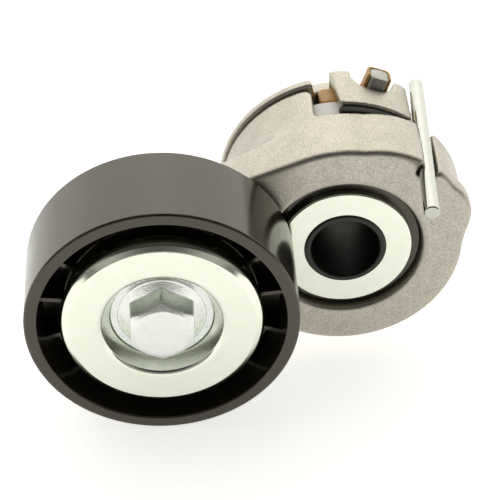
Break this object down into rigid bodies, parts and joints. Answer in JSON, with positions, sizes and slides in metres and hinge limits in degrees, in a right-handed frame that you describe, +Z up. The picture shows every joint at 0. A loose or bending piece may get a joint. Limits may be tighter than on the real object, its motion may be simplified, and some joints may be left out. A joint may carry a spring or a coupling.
{
  "type": "belt tensioner idler",
  "caption": "Automatic belt tensioner: smooth plastic idler pulley on a ball bearing, carried by a sprung cast swing arm on a drum-shaped base, with a transport lock pin.",
  "frame": {"origin": "centre of the fixing screw's hole on the base's rear mounting face; the arm's pivot axis runs along Y through it", "axes": "-Y out of the front along the pivot axis, +X away from the pulley along the arm, +Z up"},
  "size_m": [0.1086, 0.0749, 0.065],
  "materials": {
    "cast_alloy": "fine-grained die-cast surface",
    "zinc_plate": "clear zinc plating, satin",
    "bolt_zinc": "zinc plating over forged steel",
    "phosphated_steel": "dark phosphate",
    "spring_steel": "shot-peened, oiled",
    "bright_steel": "ground",
    "pin_steel": "zinc-plated wire",
    "bearing_steel": "ground and polished",
    "bronze": "sintered",
    "black_polymer": "glass-filled polyamide, satin",
    "black_damper": "greased, glossy",
    "amber_polymer": "natural amber polymer",
    "white_polymer": "natural polyamide",
    "cage_polymer": "glass-filled polyamide",
    "seal_rubber": "moulded"
  },
  "bodies": {
    "base": {"base_casting": "cast_alloy", "locating_dowel": "bright_steel", "pivot_tube": "phosphated_steel", "front_plate": "zinc_plate", "torsion_spring": "spring_steel", "spring_shoe": "amber_polymer", "damper_strip": "black_damper", "rear_thrust_washer": "bronze"},
    "arm": {"arm_casting": "cast_alloy", "pivot_bush_front": "bronze", "pivot_bush_rear": "bronze", "thrust_ring": "black_damper", "friction_liner": "white_polymer", "pulley_bolt": "bolt_zinc", "dust_cover": "zinc_plate", "bearing_spacer": "bright_steel", "bearing_inner_race": "bearing_steel", "rear_dust_shield": "zinc_plate"},
    "pulley": {"pulley_tyre": "black_polymer", "bearing_outer_race": "bearing_steel", "bearing_seal_front": "seal_rubber", "bearing_seal_rear": "seal_rubber"},
    "ball_cage": {"bearing_balls": "bearing_steel", "bearing_cage": "cage_polymer"},
    "lock_pin": {"lock_pin": "pin_steel"}
  },
  "joints": [
    {"name": "arm_swing", "type": "hinge", "parent": "base", "child": "arm", "pos_m": [0, 0, 0], "axis": [0, 1, 0], "range_deg": [0, 8], "stiffness_Nm_per_rad": 15, "springref_deg": -20.05, "deforming": ["torsion_spring"]},
    {"name": "pulley_spin", "type": "hinge", "parent": "arm", "child": "pulley", "pos_m": [-0.0454, -0.0496, 0], "axis": [0, 1, 0], "continuous": true},
    {"name": "cage_spin", "type": "hinge", "parent": "arm", "child": "ball_cage", "pos_m": [-0.0454, -0.0496, 0], "axis": [0, 1, 0], "continuous": true},
    {"name": "pin_pull", "type": "slide", "parent": "arm", "child": "lock_pin", "axis": [-0.0396, -0.9989, -0.0238], "range_m": [0, 0.045]}
  ],
  "couplings": [
    {"joint": "cage_spin", "follows": "pulley_spin", "ratio": 0.6182}
  ]
}
